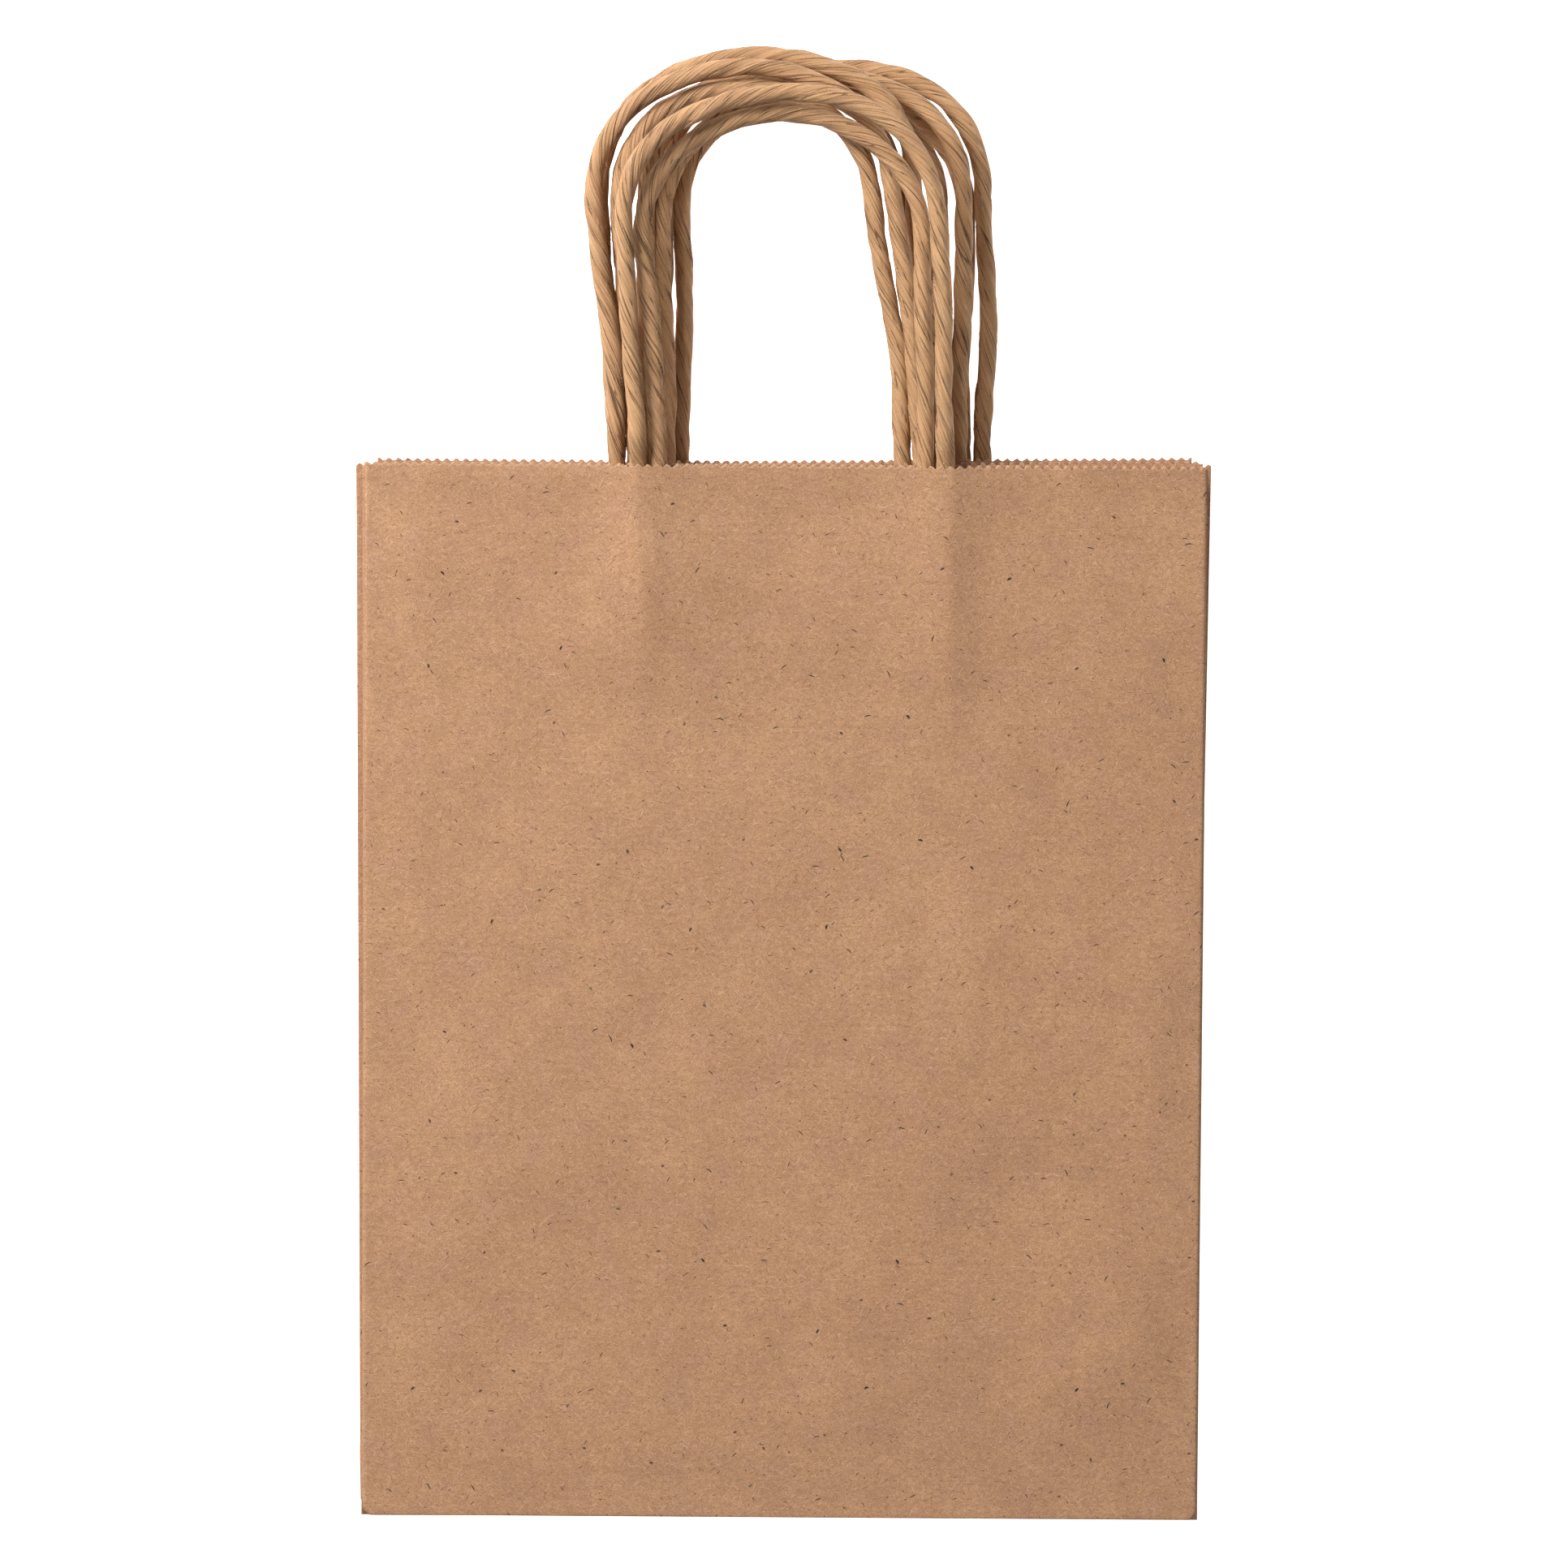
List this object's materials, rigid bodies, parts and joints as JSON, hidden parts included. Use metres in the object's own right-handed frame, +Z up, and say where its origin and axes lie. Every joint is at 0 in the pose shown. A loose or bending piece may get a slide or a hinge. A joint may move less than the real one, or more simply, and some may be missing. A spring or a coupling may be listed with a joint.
{
  "type": "gift bag pile",
  "caption": "Pile of flat-folded kraft paper gift bags with twisted paper handles; the front bag opens, stands and swings its handles, the others lift off.",
  "frame": {"origin": "under the middle of the whole pile, on the surface that it lies on", "axes": "+X across the bags, +Y from the base crease towards the mouth and handles, +Z up out of the pile"},
  "size_m": [0.208, 0.3572, 0.0376],
  "materials": {
    "kraft_paper": "uncoated kraft paper with fine fibres and flecks",
    "twisted_cord": "twisted kraft paper cord"
  },
  "bodies": {
    "bag_5": {"bag_5_body": "kraft_paper", "bag_5_patch_front": "kraft_paper", "bag_5_patch_back": "kraft_paper", "bag_5_handle_front": "twisted_cord", "bag_5_handle_back": "twisted_cord"},
    "bag_4": {"bag_4_body": "kraft_paper", "bag_4_patch_front": "kraft_paper", "bag_4_patch_back": "kraft_paper", "bag_4_handle_front": "twisted_cord", "bag_4_handle_back": "twisted_cord"},
    "bag_3": {"bag_3_body": "kraft_paper", "bag_3_patch_front": "kraft_paper", "bag_3_patch_back": "kraft_paper", "bag_3_handle_front": "twisted_cord", "bag_3_handle_back": "twisted_cord"},
    "bag_2": {"bag_2_body": "kraft_paper", "bag_2_patch_front": "kraft_paper", "bag_2_patch_back": "kraft_paper", "bag_2_handle_front": "twisted_cord", "bag_2_handle_back": "twisted_cord"},
    "front_bag_base": {"front_bag_base_panel": "kraft_paper"},
    "front_bag_front": {"front_bag_front_panel": "kraft_paper", "front_bag_patch_front": "kraft_paper", "front_bag_cord_ends_front": "twisted_cord"},
    "front_bag_back_strip": {"front_bag_back_strip": "kraft_paper"},
    "front_bag_back": {"front_bag_back_panel": "kraft_paper", "front_bag_patch_back": "kraft_paper", "front_bag_cord_ends_back": "twisted_cord"},
    "gusset_left_front": {"front_bag_gusset_left_front": "kraft_paper"},
    "gusset_left_back": {"front_bag_gusset_left_back": "kraft_paper"},
    "gusset_right_front": {"front_bag_gusset_right_front": "kraft_paper"},
    "gusset_right_back": {"front_bag_gusset_right_back": "kraft_paper"},
    "loop_front": {"front_bag_handle_front": "twisted_cord"},
    "loop_back": {"front_bag_handle_back": "twisted_cord"}
  },
  "joints": [
    {"name": "bag_4_lift", "type": "slide", "parent": "bag_5", "child": "bag_4", "axis": [0, 0, 1], "range_m": [0, 0.06]},
    {"name": "bag_3_lift", "type": "slide", "parent": "bag_4", "child": "bag_3", "axis": [0, 0, 1], "range_m": [0, 0.06]},
    {"name": "bag_2_lift", "type": "slide", "parent": "bag_3", "child": "bag_2", "axis": [0, 0, 1], "range_m": [0, 0.06]},
    {"name": "front_bag_lift", "type": "slide", "parent": "bag_2", "child": "front_bag_base", "axis": [0, 0, 1], "range_m": [0, 0.06]},
    {"name": "front_open", "type": "hinge", "parent": "front_bag_base", "child": "front_bag_front", "pos_m": [0, -0.1781, 0.00765], "axis": [1, 0, 0], "range_deg": [0, 89.08]},
    {"name": "back_strip_fold", "type": "hinge", "parent": "front_bag_base", "child": "front_bag_back_strip", "pos_m": [0, -0.07624, 0.01317], "axis": [-1, 0, 0], "range_deg": [0, 90.01]},
    {"name": "back_panel_fold", "type": "hinge", "parent": "front_bag_back_strip", "child": "front_bag_back", "pos_m": [0, -0.12716, 0.01015], "axis": [1, 0, 0], "range_deg": [0, 180.01]},
    {"name": "gusset_left_front_fold", "type": "hinge", "parent": "front_bag_front", "child": "gusset_left_front", "pos_m": [-0.1015, 0.07711, 0.02813], "axis": [0, 0.9968, 0.0801], "range_deg": [0, 90.01], "deforming": ["front_bag_gusset_left_front"]},
    {"name": "gusset_left_back_fold", "type": "hinge", "parent": "front_bag_back", "child": "gusset_left_back", "pos_m": [-0.1015, 0.07741, 0.02354], "axis": [0, -0.9979, -0.0641], "range_deg": [0, 90.01], "deforming": ["front_bag_gusset_left_back"]},
    {"name": "gusset_right_front_fold", "type": "hinge", "parent": "front_bag_front", "child": "gusset_right_front", "pos_m": [0.1015, 0.07711, 0.02813], "axis": [0, -0.9968, -0.0801], "range_deg": [0, 90.01], "deforming": ["front_bag_gusset_right_front"]},
    {"name": "gusset_right_back_fold", "type": "hinge", "parent": "front_bag_back", "child": "gusset_right_back", "pos_m": [0.1015, 0.07741, 0.02354], "axis": [0, 0.9979, 0.0641], "range_deg": [0, 90.01], "deforming": ["front_bag_gusset_right_back"]},
    {"name": "handle_front_swing", "type": "hinge", "parent": "front_bag_front", "child": "loop_front", "pos_m": [0, 0.083, 0.03011], "axis": [1, 0, 0], "range_deg": [0, 120]},
    {"name": "handle_back_swing", "type": "hinge", "parent": "front_bag_back", "child": "loop_back", "pos_m": [0, 0.08325, 0.02622], "axis": [1, 0, 0], "range_deg": [0, 90]}
  ],
  "couplings": [
    {"joint": "back_strip_fold", "follows": "front_open", "ratio": 1.0103},
    {"joint": "back_panel_fold", "follows": "front_open", "ratio": 2.0206},
    {"joint": "gusset_left_front_fold", "follows": "front_open", "ratio": 1.0103},
    {"joint": "gusset_left_back_fold", "follows": "front_open", "ratio": 1.0103},
    {"joint": "gusset_right_front_fold", "follows": "front_open", "ratio": 1.0103},
    {"joint": "gusset_right_back_fold", "follows": "front_open", "ratio": 1.0103}
  ]
}
